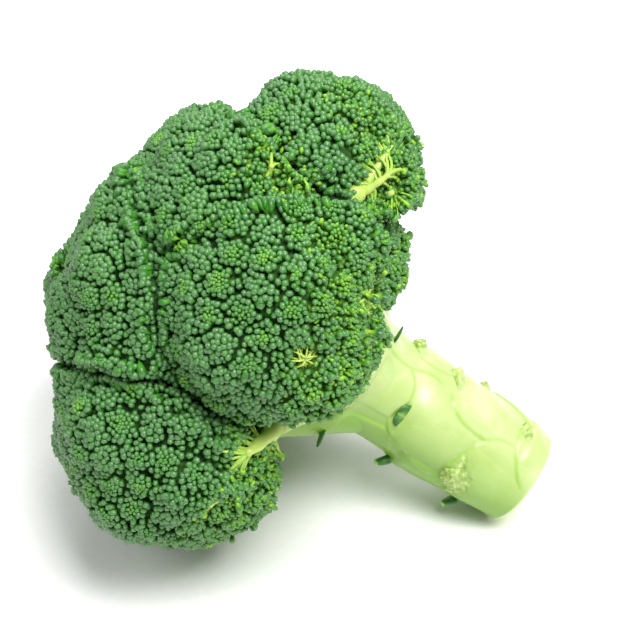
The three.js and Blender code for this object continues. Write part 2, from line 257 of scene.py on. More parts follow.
def torn_patch(bearing, up):
    """How far the skin is torn, 0 to 1, and its relief: a ragged oval and its tail, with crumpled
    sine waves inside and a low rim round it."""
    x = DEGREE * turn_from(bearing, TORN["bearing"])
    y = up - TORN["up"]
    ragged = 1 + 0.1 * np.sin(2.3 * x + 1.9 * y) + 0.08 * np.sin(4.1 * y - 2.7 * x + 1)
    oval = np.hypot(x / TORN["across"], y / TORN["along"]) * ragged
    tail_x = DEGREE * turn_from(TORN["tail"][0], TORN["bearing"])
    tail_y = TORN["tail"][1] - TORN["up"]
    share = np.clip((x * tail_x + y * tail_y) / (tail_x**2 + tail_y**2), 0, 1)
    tail = np.hypot(x - share * tail_x, y - share * tail_y) / (2.6 - 2.0 * share) * ragged
    edge = np.minimum(oval, tail)
    torn = smoothstep(1.06, 0.88, edge)
    crumpled = np.sin(1.9 * x + 1.1 * y) * np.sin(2.3 * y - 0.8 * x + 2)
    crumpled = crumpled + 0.5 * np.sin(4.3 * x - 3.1 * y)
    rim = np.exp(-(((edge - 1.05) / 0.12) ** 2))
    return torn, 0.3 * crumpled * torn + 0.35 * rim - 0.25 * torn


def shade_at(bearing):
    """How much painted shade the skin gets, 0 to 0.9: a deeper green, none on top, and most underneath.
    """
    return 0.9 * smoothstep(30, 118, np.abs(bearing))


JOIN_POWER = 14


def stem_skin(bearing, up):
    """The stem's radius: the profile, its pads, the branches that swell out of it, joined by a
    power mean that rounds the crotches, and the relief of the borders. Gives the groove too."""
    plain = stem_profile(up) + np.max([swelling(scar, bearing, up) for scar in SCARS], axis=0)
    bulges = sum(branch_bulge(floret, bearing, up) ** JOIN_POWER for floret in FLORETS)
    radius, groove = (plain**JOIN_POWER + bulges) ** (1 / JOIN_POWER), np.zeros_like(up)
    for seam in SEAMS:
        height, line = seam_relief(seam, bearing, up)
        radius, groove = radius + height, np.maximum(groove, line)
    radius = radius + torn_patch(bearing, up)[1]
    turn = np.radians(bearing)
    wander = np.sin(3 * turn + 0.09 * up) + 0.6 * np.sin(5 * turn - 0.17 * up + 1)
    return radius + 0.12 * (wander + 0.4 * np.sin(0.31 * up + 2)), groove


def skin_faces(rows, columns):
    """Corner numbers of the faces of a closed skin whose points are its first pole, its rows of
    columns, and its last pole: quads between the rows, and a fan at each pole."""
    column = np.arange(columns)
    after = (column + 1) % columns
    row = np.arange(rows - 1)[:, None] * columns + 1
    corners = row + column, row + after, row + columns + after, row + columns + column
    last = (rows - 1) * columns + 1
    first_fan = np.stack([0 * column, 1 + after, 1 + column], axis=-1)
    last_fan = np.stack([0 * column + last + columns, last + column, last + after], axis=-1)
    return np.stack(corners, axis=-1).reshape(-1, 4), np.vstack([first_fan, last_fan])


def with_poles(values, first, last):
    """A grid's values as one row, with those of its two poles before and after it."""
    return np.concatenate([[first], np.ravel(values), [last]])


class Skins:
    """Closed skins gathered for one piece, with the values their finish is worked out from."""

    def __init__(self, *names):
        self.points, self.quads, self.fans, self.count = [], [], [], 0
        self.values = {name: [] for name in names}

    def add(self, rows, first_pole, last_pole, **values):
        """Adds one skin, or as many as there are along leading axes. rows is (..., rows, columns, 3),
        a pole (..., 3), and a value is one number for each point, in the same order, or for all. A
        value that isn't given is 0."""
        many = rows.reshape(-1, *rows.shape[-3:])
        copies, height, columns = many.shape[:3]
        first, last = (np.reshape(pole, (copies, 1, 3)) for pole in (first_pole, last_pole))
        points = np.concatenate([first, many.reshape(copies, height * columns, 3), last], axis=1)
        quads, fans = skin_faces(height, columns)
        starts = self.count + np.arange(copies)[:, None, None] * points.shape[1]
        self.points.append(points.reshape(-1, 3))
        self.quads.append((quads + starts).reshape(-1, 4))
        self.fans.append((fans + starts).reshape(-1, 3))
        for name, kept in self.values.items():
            kept.append(np.broadcast_to(values.get(name, 0.0), points.shape[:2]).ravel())
        self.count += copies * points.shape[1]

    def tubes(self, middles, slopes, radii, sides, across=None, **values):
        """Adds tubes along paths: at each point of a path, a circle square to its slope. middles
        and slopes are (..., steps, 3) and radii (..., steps). A value is one number, or one for
        each step of a single tube."""
        travel = unit(slopes)
        over = np.cross(travel, (0.137, 0.211, 0.968)) if across is None else np.cross(across, travel)
        over = unit(over)
        aside = np.cross(over, travel)
        turn = np.linspace(0, 2 * np.pi, sides, endpoint=False)[:, None]
        ring = np.cos(turn) * aside[..., None, :] + np.sin(turn) * over[..., None, :]
        rows = middles[..., None, :] + ring * radii[..., None, None]
        for name, value in values.items():
            if np.ndim(value):
                values[name] = with_poles(np.repeat(value, sides), value[0], value[-1])
        first = middles[..., 0, :] - travel[..., 0, :] * radii[..., 0, None] * 0.5
        last = middles[..., -1, :] + travel[..., -1, :] * radii[..., -1, None] * 0.5
        self.add(rows, first, last, **values)

    def piece(self, name, material, slot, *replaced):
        """The gathered skins as one Blender object in the laid frame, riding on the head's body."""
        points = laid(np.vstack(self.points)).astype(np.float32)
        polygons = [np.vstack(self.quads), np.vstack(self.fans)]
        sizes = np.concatenate([np.full(len(p), p.shape[1]) for p in polygons])
        corners = np.concatenate([p.ravel() for p in polygons]).astype(np.int32)
        starts = np.concatenate([[0], np.cumsum(sizes)[:-1]]).astype(np.int32)
        mesh = bpy.data.meshes.new(name)
        mesh.vertices.add(len(points))
        mesh.vertices.foreach_set("co", points.ravel())
        mesh.loops.add(len(corners))
        mesh.loops.foreach_set("vertex_index", corners)
        mesh.polygons.add(len(sizes))
        mesh.polygons.foreach_set("loop_start", starts)
        mesh.polygons.foreach_set("use_smooth", np.ones(len(sizes), bool))
        mesh.update(calc_edges=True)
        for key, kept in self.values.items():
            values = mesh.attributes.new(key, "FLOAT", "POINT")
            values.data.foreach_set("value", np.concatenate(kept).astype(np.float32))
        mesh.materials.append(material)
        made = bpy.data.objects.new(name, mesh)
        bpy.context.collection.objects.link(made)
        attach(made, "root")
        if replaced:
            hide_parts(*replaced)


def linear(colour):
    """An sRGB hex colour as linear red, green, blue and alpha."""
    value = np.array([int(colour[i : i + 2], 16) for i in (1, 3, 5)]) / 255
    value = np.where(value <= 0.04045, value / 12.92, ((value + 0.055) / 1.055) ** 2.4)
    return (*value, 1.0)


def add_node(material, kind, inputs=(), stops=(), output=0, **settings):
    """Adds a shader node and gives back one of its outputs. inputs pairs a socket's name or number
    with a value, a hex colour or the output linked to it, stops are a colour ramp's places and
    colours, and settings are the node's own."""
    made = material.node_tree.nodes.new(kind)
    for name, value in settings.items():
        setattr(made, name, value)
    for socket, value in dict(inputs).items():
        if isinstance(value, bpy.types.NodeSocket):
            material.node_tree.links.new(value, made.inputs[socket])
        else:
            made.inputs[socket].default_value = linear(value) if isinstance(value, str) else value
    for i, (place, colour) in enumerate(stops):
        elements = made.color_ramp.elements
        element = elements[i] if i < len(elements) else elements.new(place)
        element.position, element.color = place, linear(colour)
    return made.outputs[output]


def attribute(material, name):
    """A value that a mesh carries at its points, by its name."""
    return add_node(material, "ShaderNodeAttribute", output="Fac", attribute_name=name)


def own_place(material):
    """The place on the piece, in metres."""
    return add_node(material, "ShaderNodeTexCoord", output="Object")


def noise(material, place, scale, detail):
    """Clouded noise whose largest blotches are about 1 / scale metres across."""
    return add_node(material, "ShaderNodeTexNoise", {"Vector": place, "Scale": scale, "Detail": detail})


def ramp(material, share, *stops):
    """A colour for each share from 0 to 1, between the colours of the stops."""
    return add_node(material, "ShaderNodeValToRGB", {"Fac": share}, stops)


def mixed(material, share, first, second):
    """Two colours mixed by a share."""
    inputs = {0: share, 6: first, 7: second}
    return add_node(material, "ShaderNodeMix", inputs, output=2, data_type="RGBA")


def bumped(material, height, strength, distance):
    """The surface's normal, tilted by the slope of a height of so many metres."""
    inputs = {"Height": height, "Strength": strength, "Distance": distance}
    return add_node(material, "ShaderNodeBump", inputs)


def new_material(name, **values):
    """A material with only its Principled surface, whose sockets are set by name."""
    material = bpy.data.materials.new(name)
    material.use_nodes = True
    surface = material.node_tree.nodes["Principled BSDF"]
    for socket, value in values.items():
        surface.inputs[socket.replace("_", " ")].default_value = value
    return material


def wire(material, **outputs):
    """Links outputs to the sockets of a material's surface, by name."""
    surface = material.node_tree.nodes["Principled BSDF"]
    for socket, output in outputs.items():
        material.node_tree.links.new(output, surface.inputs[socket.replace("_", " ")])


# Living epidermis under a thin wax: satin, a little see-through, pale yellow-green where it is taut,
# deeper green in the grooves, and straw-coloured and dull where a leaf tore away. A deeper green towards
# the underside is painted shade.
stalk_skin = new_material(
    "stalk_waxy_epidermis", Roughness=0.3, IOR=1.42, Subsurface_Weight=0.12, Subsurface_Scale=0.002
)
stem_place = own_place(stalk_skin)
inputs = {"Vector": stem_place, "Rotation": (0, math.radians(LEAN), 0)}
along_stem = add_node(stalk_skin, "ShaderNodeMapping", inputs)
blotches = noise(stalk_skin, along_stem, 60, 3)
ground = ramp(stalk_skin, blotches, (0.3, "#aabd72"), (0.5, "#b8c886"), (0.72, "#cad8a2"))
fibre_place = add_node(stalk_skin, "ShaderNodeMapping", {"Vector": along_stem, "Scale": (1, 1, 0.06)})
fibres = noise(stalk_skin, fibre_place, 1400, 2)
fibre_tone = ramp(stalk_skin, fibres, (0.35, "#a6c866"), (0.65, "#d6e8a4"))
scar_noise = noise(stalk_skin, stem_place, 600, 3)
scar_colour = ramp(stalk_skin, scar_noise, (0.35, "#86a548"), (0.5, "#a5be66"), (0.68, "#c6d892"))
skin_colour = mixed(stalk_skin, 0.07, ground, fibre_tone)
# shaded mixes in painted shade: a deeper green towards the underside of the stem and branches, and over
# the bare branchlets and stalklets.
for name, colour in (
    ("shaded", "#6f9e26"),
    ("groove", "#8cb83c"),
    ("young", "#b2c860"),
    ("scar", scar_colour),
    ("flesh", "#cfe4a0"),
):
    skin_colour = mixed(stalk_skin, attribute(stalk_skin, name), skin_colour, colour)
wire(stalk_skin, Base_Color=skin_colour, Normal=bumped(stalk_skin, fibres, 0.03, 0.0002))

# The stem as one skin: the cut face from its middle to its rim, the side, and the closed top.
CUT_ROWS, SIDE_ROWS, TOP_ROWS, STEM_COLUMNS = 12, 172, 5, 200
SIDE_START = 0.7
cut_steps = np.linspace(0.05, 0.965, CUT_ROWS)
top_steps = np.linspace(0.85, 0.1, TOP_ROWS)
share = np.concatenate([cut_steps, [0.985, 0.997], np.ones(SIDE_ROWS), top_steps])
side_heights = np.linspace(SIDE_START, STEM_TOP, SIDE_ROWS)
top_heights = STEM_TOP + np.linspace(0.5, 1.5, TOP_ROWS)
height = np.concatenate([0.5 * (1 - cut_steps**2), [0.06, 0.3], side_heights, top_heights])
bearings = np.linspace(-180, 180, STEM_COLUMNS, endpoint=False)
grid_bearing, grid_up = np.meshgrid(bearings, height)
radius, groove = stem_skin(grid_bearing, np.clip(grid_up, SIDE_START, STEM_TOP))
flesh = smoothstep(1.0, 0.985, share) * (height < 1)
on_side = (height > 0.5)[:, None]
stalk = Skins("groove", "young", "scar", "flesh", "shaded")
stalk.add(
    around(grid_bearing, radius * share[:, None], grid_up),
    (0, 0, 0.5),
    (0, 0, STEM_TOP + 1.6),
    groove=with_poles(groove * (1 - flesh)[:, None], 0, 0),
    young=with_poles(0.5 * smoothstep(60, 84, grid_up), 0, 0.5),
    scar=with_poles(torn_patch(grid_bearing, grid_up)[0] * on_side, 0, 0),
    flesh=with_poles(np.repeat(flesh, STEM_COLUMNS), 1, 0),
    # painted shade: a deeper green towards the stem's underside
    shaded=with_poles(shade_at(grid_bearing) * on_side, 0, 0),
)

# The branches, each a tube from inside the stem to inside its floret.
BRANCH_SIDES, BRANCH_STEPS = 28, 24
along = np.linspace(0, 1, BRANCH_STEPS)
for floret in FLORETS:
    place, slope = bezier(*branch_points(floret), along)
    stalk.tubes(
        place,
        slope,
        branch_radius(floret, along),
        BRANCH_SIDES,
        across=around(floret["bearing"] + 90, 1, 0),
        young=0.6 * smoothstep(60, 95, place[:, 2]),
        # painted shade: each branch takes the stem's painted shade at its bearing
        shaded=shade_at(floret["bearing"]),
    )

# The broken leaf stems: short stumps with ragged, fibrous ends.
STUB_RADIUS = 3
STUMP_SIDES = 22
luck = np.random.default_rng(7)
stump_along = np.array([0, 0.3, 0.55, 0.75, 0.88, 0.95, 1.0, 0.97, 0.93])
stump_share = np.array([1, 0.98, 0.93, 0.88, 0.86, 0.84, 0.72, 0.45, 0.2])
turn = np.linspace(0, 2 * np.pi, STUMP_SIDES, endpoint=False)
torn_end = np.repeat(smoothstep(0.5, 0.8, stump_along), STUMP_SIDES)
for scar in SCARS:
    if not scar["stub"]:
        continue
    outward, across = around(scar["bearing"], 0.8, 0.6), around(scar["bearing"] + 90, 1, 0)
    over = np.cross(outward, across)
    foot = around(scar["bearing"], stem_profile(scar["up"]) - STUB_RADIUS, scar["up"] - 1)
    length = STUB_RADIUS + scar["swell"] + scar["stub"]
    torn = luck.normal(0, 1, (len(stump_along), STUMP_SIDES)) * smoothstep(0.7, 1, stump_along)[:, None]
    reach = (stump_along * length)[:, None] + 0.35 * torn
    wide = (STUB_RADIUS + 0.8 - 1.4 * stump_along) * stump_share
    wide = wide[:, None] * (1 + 0.1 * np.sin(3 * turn + scar["up"])) + 0.12 * torn
    rows = foot + reach[..., None] * outward + (wide * 1.35 * np.cos(turn))[..., None] * across
    rows = rows + (wide * 0.9 * np.sin(turn))[..., None] * over
    stalk.add(rows, foot, foot + outward * length * 0.9, scar=with_poles(torn_end, 0, 1))
stalk.piece("stalk_skin_and_branches", stalk_skin, "stalk_skin", "stalk")

# ---- Last leaves
# The few small leaves and leaf ends that are left on the stalk after trimming: thin tough blades,
# each growing out of the stalk's skin, dark green and waxy, and curled as they dried a little.
LEAVES = [
    dict(name="axil", bearing=-66, out=16, up=46, rise=55, length=4, width=8, thickness=1.2),
    dict(name="edge", bearing=-143, out=16, up=37, rise=34, length=6.5, width=4, thickness=3),
    dict(name="end", bearing=-145, out=15, up=12, rise=26, length=6.5, width=4.4, thickness=3),
    dict(name="hanging", bearing=-113, out=19.5, up=65, rise=-15, length=10, width=3.2, thickness=1.4),
    dict(name="slender", bearing=-11, out=18, up=61.5, rise=6, length=9, width=2.4, thickness=1.1),
]

leaf_blade = new_material("leaf_tough_blade", Roughness=0.42, IOR=1.45)
leaf_mottle = noise(leaf_blade, own_place(leaf_blade), 700, 3)
blade_colour = ramp(leaf_blade, leaf_mottle, (0.3, "#1f4d16"), (0.55, "#2f6a20"), (0.75, "#4c8a2e"))
blade_colour = mixed(leaf_blade, attribute(leaf_blade, "pale"), blade_colour, "#a8cf62")
wire(leaf_blade, Base_Color=blade_colour, Normal=bumped(leaf_blade, leaf_mottle, 0.3, 0.0003))

LEAF_SIDES, LEAF_STEPS = 24, 22
along = np.linspace(0, 1, LEAF_STEPS)
turn = np.linspace(0, 2 * np.pi, LEAF_SIDES, endpoint=False)
# The blade's breadth is a stretch of a sine, blunt at its end, and the midrib is a shallow fold
# along the middle of its upper face.
breadth = 0.25 + 0.75 * np.sin(np.pi * (0.2 + 0.75 * along))
breadth *= np.sqrt(np.clip((1.04 - along) / 0.14, 0, 1))
flat = np.sign(np.sin(turn)) * np.abs(np.sin(turn)) ** 1.3
fold = 0.25 * np.exp(-((np.cos(turn) / 0.25) ** 2)) * (np.sin(turn) > 0)
midrib = 0.5 * np.tile(np.exp(-((np.cos(turn) / 0.2) ** 2)), LEAF_STEPS)
for leaf in LEAVES:
    rise = math.radians(leaf["rise"])
    direction = around(leaf["bearing"], math.cos(rise), math.sin(rise))
    across = around(leaf["bearing"] + 90, 1, 0)
    over = np.cross(direction, across)
    foot = place_of(leaf)
    wave = 0.05 * leaf["width"] * np.sin(9 * along + 1) * np.abs(np.cos(turn))[:, None] ** 3
    half_width = breadth * leaf["width"] / 2
    half_thick = (0.4 + 0.6 * breadth) * leaf["thickness"] / 2
    curl = 0.12 * leaf["length"] * along**2
    sideways = half_width[:, None] * np.cos(turn)
    upwards = half_thick[:, None] * (flat - fold) + wave.T + curl[:, None]
    rows = foot + (along * leaf["length"])[:, None, None] * direction
    rows = rows + sideways[..., None] * across + upwards[..., None] * over
    cut = 0.9 * smoothstep(0.86, 0.98, along) * (leaf["thickness"] > 2)
    pale = np.repeat(smoothstep(0.35, 0.0, along) + cut, LEAF_SIDES) + midrib
    blade = Skins("pale")
    blade.add(
        rows,
        foot,
        foot + direction * leaf["length"] * 1.01 + over * curl[-1],
        pale=with_poles(np.clip(pale, 0, 1), 1, cut[-1]),
    )
    blade.piece(f"blade_{leaf['name']}", leaf_blade, "leaf_blade", f"leaf_{leaf['name']}")

# ---- Florets
# The flower heads, each one branch that divides again and again and ends in hundreds of closed
# flower buds. The buds crowd into rounded clusters, tight and blue-green with wax where they are
# ripe, and tiny and yellow-green in the middle of a cluster, where the youngest are.
CLUSTER_SPACING = 9.5
CLUSTER_HEIGHT = 3.2
CLUSTERS_WRAP = -0.42  # how far below the rim they go, as a cosine from the floret's axis
UNDERSIDE = 0.42
DOMELETS = 7
GOLDEN_TURN = 137.5
CREASE_POWER = 14
CROWDING = 5.0
CLEARANCE = 0.35
WALL_STRAY = 0.85
FREE_GAP = 1.6


def turned_to(axis):
    """The smallest turn that takes +Z to the axis, by Rodrigues' formula."""
    x, y, z = axis
    cross = np.array([[0, 0, x], [0, 0, y], [-x, -y, 0]])
    return np.eye(3) + cross + cross @ cross / (1 + z)


def dome_reach(shape, towards):
    """Half an ellipsoid above the rim and a flatter half below it, as a distance from the middle."""
    axial = towards @ shape["axis"]
    depth = np.where(axial > 0, shape["height"], UNDERSIDE * shape["radius"])
    return 1 / np.hypot(axial / depth, np.sqrt(np.maximum(0, 1 - axial**2)) / shape["radius"])


def shape_of(floret):
    """What its shape is worked out from: middle, axis, turn, the balls its dome swells into and
    the planes where its neighbours press on it."""
    axis = axis_of(floret)
    shape = dict(floret, middle=place_of(floret), axis=axis, turn=turned_to(axis))
    k = np.arange(DOMELETS)
    lean = np.radians(82 * np.sqrt((k + 0.3) / DOMELETS))
    towards = around(GOLDEN_TURN * k + floret["bearing"], np.sin(lean), np.cos(lean)) @ shape["turn"].T
    reach = dome_reach(shape, towards)
    shape["balls"] = towards * (0.56 * reach)[:, None], 0.48 * reach
    others = [other for other in FLORETS if other["name"] != floret["name"]]
    away = np.array([place_of(other) for other in others]) - shape["middle"]
    distance = np.linalg.norm(away, axis=1)
    room = np.array([floret["size"] / (floret["size"] + other["size"]) for other in others])
    shape["walls"] = away / distance[:, None], distance * room - CLEARANCE / 2
    before = [other["name"] for other in FLORETS].index(floret["name"])
    shape["sides"] = np.where(np.arange(len(others)) < before, 1.0, -1.0)
    return shape


SHAPES = [shape_of(floret) for floret in FLORETS]


def open_reach(shape, towards):
    """The dome, or the far side of whichever of its balls stands out of it."""
    middles, radii = shape["balls"]
    along = towards @ middles.T
    room = radii**2 - np.sum(middles**2, axis=1) + along**2
    far = np.where((room > 0) & (along > 0), along + np.sqrt(np.maximum(room, 0)), 0)
    return np.maximum(0.95 * dome_reach(shape, towards), far.max(axis=-1))


def straying(points):
    """How far a border strays from a straight cut at a place: sine waves, about 20 mm long."""
    x, y, z = np.moveaxis(points, -1, 0)
    waves = np.sin(0.31 * x + 0.23 * y + 1) + np.sin(0.34 * z - 0.19 * y + 2.4)
    return WALL_STRAY * (waves + 0.6 * np.sin(0.71 * y + 0.47 * z - 0.52 * x))


def wall_reaches(shape, towards):
    """The distance from the middle to each neighbour's wall, which strays to one side and the
    other by as much as the neighbour's own."""
    normals, distances = shape["walls"]
    facing = np.maximum(towards @ normals.T, 1e-6)
    far = np.minimum(distances / facing, 90)
    strays = straying(shape["middle"] + far[..., None] * towards[..., None, :])
    return np.where(facing > 1e-5, (distances + shape["sides"] * strays) / facing, 1e9)


def tightness(shape, towards):
    """The open dome's reach as a share of the nearest wall's: over 1, the floret is pressed flat."""
    return open_reach(shape, towards) / wall_reaches(shape, towards).min(axis=-1)


def reach_of(shape, towards, raised):
    """The distance from the middle to the skin: the least of the raised dome and the walls, with
    the crease between them rounded by a power mean. The dome crowds up beside a neighbour."""
    walls = wall_reaches(shape, towards)
    dome = open_reach(shape, towards)
    dome = dome + CROWDING * smoothstep(0.68, 1.0, dome / walls.min(axis=-1)) + raised
    return (dome**-CREASE_POWER + np.sum(walls**-CREASE_POWER, axis=-1)) ** (-1 / CREASE_POWER)


def directions_over(shape, spacing):
    """Directions spread evenly over a sphere in a golden spiral round the floret's axis."""
    size = (shape["height"] + shape["radius"]) / 2
    count = round(4 * math.pi * size**2 / (0.866 * spacing**2))
    i = np.arange(count)
    height = 1 - 2 * (i + 0.5) / count
    turn = i * math.pi * (3 - math.sqrt(5))
    ring = np.sqrt(1 - height**2)
    return np.stack([ring * np.cos(turn), ring * np.sin(turn), height], axis=-1) @ shape["turn"].T


def distances_between(points, others):
    """The distance from every point to every other, from the squares of their lengths."""
    square = np.sum(points**2, axis=1)[:, None] + np.sum(others**2, axis=1) - 2 * points @ others.T
    return np.sqrt(np.maximum(square, 0))


# Where the head has grown apart, so that the stalklets show: the places, how far and how much, and
# how far the dome has fallen in there.
LOOSE_PLACES = [
    dict(bearing=-57, out=72, up=96, reach=5.5, share=1.0, sunk=3.0),
    dict(bearing=-36, out=64, up=79, reach=15, share=1.0, sunk=6),
    dict(bearing=-33, out=63, up=79, reach=11, share=1.0, sunk=15),
    dict(bearing=-42, out=74, up=92, reach=13, share=0.85, sunk=0),
    dict(bearing=-62, out=62, up=84, reach=13, share=0.9, sunk=0),
    dict(bearing=-33, out=73, up=108, reach=8, share=0.75, sunk=0),
    dict(bearing=-20, out=64, up=131, reach=9, share=0.9, sunk=0),
    dict(bearing=-22, out=66, up=124, reach=7, share=0.9, sunk=0),
    dict(bearing=0, out=75, up=102, reach=14, share=1.0, sunk=0),
    dict(bearing=3, out=73, up=116, reach=10, share=0.8, sunk=0),
    dict(bearing=-11, out=70, up=98, reach=8, share=1.0, sunk=5.5),
    dict(bearing=-10, out=52, up=95, reach=11, share=0.7, sunk=0),
    dict(bearing=-88, out=57, up=87, reach=9, share=1.0, sunk=3.5),
    dict(bearing=-104, out=73, up=87, reach=7, share=0.9, sunk=2.5),
]
LOOSE_POINTS = np.array([place_of(place) for place in LOOSE_PLACES])
LOOSE_REACHES, LOOSE_SHARES, LOOSE_DEPTHS = (
    np.array([place[key] for place in LOOSE_PLACES]) for key in ("reach", "share", "sunk")
)


def nearness(points, weights):
    """The most that any loose place counts for at each point: its weight, fading with the distance
    as exp(-(distance / reach)^2)."""
    fading = np.exp(-((distances_between(points, LOOSE_POINTS) / LOOSE_REACHES) ** 2))
    return (weights * fading).max(axis=-1)


def cluster_relief(shape, towards):
    """How far the skin is raised over the plain dome: most in a cluster's middle, falling by the
    square of the distance to its edge, gone where there is no cluster, and less where the dome has
    fallen in. Also the distances to all the clusters' middles."""
    plain = towards * reach_of(shape, towards, 0)[..., None]
    away = distances_between(plain, shape["peaks"])
    distance = away.min(axis=-1)
    rounded = 1 - 0.4 * np.minimum(distance / 6.3, 1) ** 2
    raised = CLUSTER_HEIGHT * rounded * (1 - smoothstep(7, 13, distance))
    return raised - nearness(shape["middle"] + plain, LOOSE_DEPTHS), away


def skin_place(shape, towards, inset=0.0):
    """The point of the budded skin in each direction, from the floret's middle."""
    raised, _ = cluster_relief(shape, towards)
    return towards * (reach_of(shape, towards, raised) - inset)[..., None]


def sideways_of(normals):
    """Two directions square to each normal and to each other."""
    aside = unit(np.cross(normals, (0.31, 0.74, 0.6)))
    return aside, np.cross(normals, aside)


def skin_normal(shape, towards):
    """The skin's normal, square to two short steps across it."""
    step = 0.5 / shape["radius"]
    across = [
        skin_place(shape, unit(towards + step * way)) - skin_place(shape, unit(towards - step * way))
        for way in sideways_of(towards)
    ]
    return unit(np.cross(*across))


def openness_of(shape, towards):
    """How far the head has grown apart, 0 to 1: the most of three, towards the stalk, under the
    head, and near the loose places."""
    skin = shape["middle"] + towards * reach_of(shape, towards, CLUSTER_HEIGHT)[:, None]
    towards_stalk = smoothstep(0.3, -0.3, towards @ shape["axis"])
    under = 0.8 * smoothstep(0.0, -0.8, towards[:, 2])
    return np.maximum.reduce([towards_stalk, under, nearness(skin, LOOSE_SHARES)])


def stands_free(shape, towards):
    """Whether the skin is clear of every neighbour, so that it shows although a wall bounds it."""
    places = shape["middle"] + towards * reach_of(shape, towards, 0)[:, None]
    free = np.ones(len(places), bool)
    for other in SHAPES:
        if other["name"] != shape["name"]:
            away = places - other["middle"]
            filled = reach_of(other, unit(away), 0.6 * CLUSTER_HEIGHT)
            free &= np.linalg.norm(away, axis=1) > filled + FREE_GAP
    return free


TIGHTEST = 1.08


def budded(shape, towards):
    """Which directions carry buds: those that no neighbour hides, as far as the clusters wrap."""
    shown = (tightness(shape, towards) < TIGHTEST) | stands_free(shape, towards)
    return shown & (towards @ shape["axis"] > CLUSTERS_WRAP - 0.06)


YOUNG_BUD = 1.12
RIPE_BUD = 2.12
CELL_RADIUS = 8.5
OUT_STEPS = np.linspace(0, CELL_RADIUS, 400)


def young_radius(youth):
    """How far a cluster's young middle reaches: half of them have one, of 1.2 to 3.4 mm."""
    return np.where(youth < 0.5, 0.0, 1.2 + 2.2 * (youth - 0.5) / 0.5)


def bud_size(distance, youth):
    """A bud's width at a distance from its cluster's middle: small while young, full-sized beyond."""
    edge = young_radius(youth)
    small = np.where(youth < 0.5, 1.9, YOUNG_BUD)
    return small + (RIPE_BUD - small) * smoothstep(0.3 * edge, edge + 2.4, distance)


def spiral_of_buds(youth):
    """Where the buds of one cluster sit: on a spiral of golden turns, each as far out as leaves
    it room for its own size, so that the sum of the buds' areas gives the distance out."""
    room = 0.78 * bud_size(OUT_STEPS, youth) ** 2
    area = np.cumsum(2 * np.pi * OUT_STEPS[1:] * np.diff(OUT_STEPS) / room[1:])
    area = np.concatenate([[0], area])
    number = np.arange(int(area[-1]))
    return np.interp(number + 0.3, area, OUT_STEPS), number * math.radians(GOLDEN_TURN)


def crowded_out(places, sizes, rank, least=0.7):
    """Which buds stand too near one that comes before them in rank, twice over so that a bud
    isn't lost to one that goes itself."""
    lost = np.zeros(len(places), bool)
    near = np.triu(distances_between(places, places) < least * (sizes[:, None] + sizes) / 2, 1)
    one, other = np.nonzero(near)
    later = np.where(rank[one] > rank[other], one, other)
    first = one + other - later
    firm = rank[first] <= 0
    lost[later[firm]] = True
    still = ~firm & ~lost[first]
    lost[later[still]] = True
    return lost


def widest_apart(places, gap, room, rounds=14):
    """Which places to fill so that none is nearer than room to another: in each round, those with
    the widest gap of all the places that are still free near them."""
    near = distances_between(places, places) < room
    rank = gap + 1e-6 * np.arange(len(gap))
    free, chosen = np.ones(len(gap), bool), np.zeros(len(gap), bool)
    for _ in range(rounds):
        best = np.where(near & free, rank, -1).max(axis=1, initial=-1)
        taken = free & (rank >= best)
        chosen |= taken
        free &= ~np.any(near & taken, axis=1)
    return chosen


def settle(places, sizes, rounds=8):
    """Pushes buds that sit too near each other apart, a little over a third of the overlap each,
    a few times."""
    for _ in range(rounds):
        room = 1.03 * (sizes[:, None] + sizes) / 2
        one, other = np.nonzero(np.triu(distances_between(places, places) < room, 1))
        apart = places[one] - places[other]
        distance = np.maximum(np.linalg.norm(apart, axis=1), 1e-3)
        push = 0.7 * apart * ((room[one, other] - distance) / distance * 0.5)[:, None]
        np.add.at(places, one, push)
        np.add.at(places, other, -push)
    return places


# A bud in profile, as heights and half widths in shares of its width: the foot of its stalklet,
# the stalklet, the body and the tip. A young bud is rounder, and a loose one's stalklet is long.
BUD_PROFILE = np.array([(-1.15, 0), (-0.04, 0.53), (0.42, 0.43), (0.72, 0)])
YOUNG_PROFILE = np.array([(-1.2, 0), (-0.12, 0.55), (0.32, 0.45), (0.6, 0)])
LOOSE_PROFILE = np.array(
    [(-1.5, 0), (-1.2, 0.21), (-0.85, 0.19), (-0.48, 0.25), (0.0, 0.49), (0.45, 0.38), (0.72, 0)]
)
BUD_SIDES = 5


def add_buds(skins, profile, tips, axes, feet, sizes, stretch, sides=BUD_SIDES, **values):
    """Adds one bud below each tip: its profile turned round its axis to a slight oval, unlike the
    next one's, and stretched along it, with the stalklet's rings shared out on the way from the
    body to the foot. A value is one number for each bud, or for all."""
    aside, over = sideways_of(axes)
    oval = 1 + 0.13 * np.sin(997 * sizes)[:, None, None]
    turn = np.linspace(0, 2 * np.pi, sides, endpoint=False)[:, None]
    ring = oval * np.cos(turn) * aside[:, None, :] + np.sin(turn) / oval * over[:, None, :]
    rise = profile[:, 0] - profile[-1, 0]
    spine = tips[:, None, :] + ((sizes * stretch)[:, None] * rise)[..., None] * axes[:, None, :]
    share = np.clip((-0.3 - profile[:, 0]) / (-0.3 - profile[0, 0]), 0, 1) ** 1.2
    spine = spine + (share**2 * (3 - 2 * share))[None, :, None] * (feet - spine[:, 0])[:, None, :]
    wide = sizes[:, None] * profile[:, 1]
    rows = spine[:, 1:-1, None, :] + wide[:, 1:-1, None, None] * ring[:, None, :, :]
    heights = with_poles(np.repeat(profile[1:-1, 0], sides), profile[0, 0], profile[-1, 0])
    values = {name: np.reshape(value, (-1, 1)) for name, value in values.items()}
    skins.add(rows, spine[:, 0], spine[:, -1], rise=heights, **values)


def mapped(material, value, low, high, first, last):
    """What goes from first to last as a value goes from low to high, and stays there beyond."""
    inputs = {"Value": value, 1: low, 2: high, 3: first, 4: last}
    return add_node(material, "ShaderNodeMapRange", inputs)
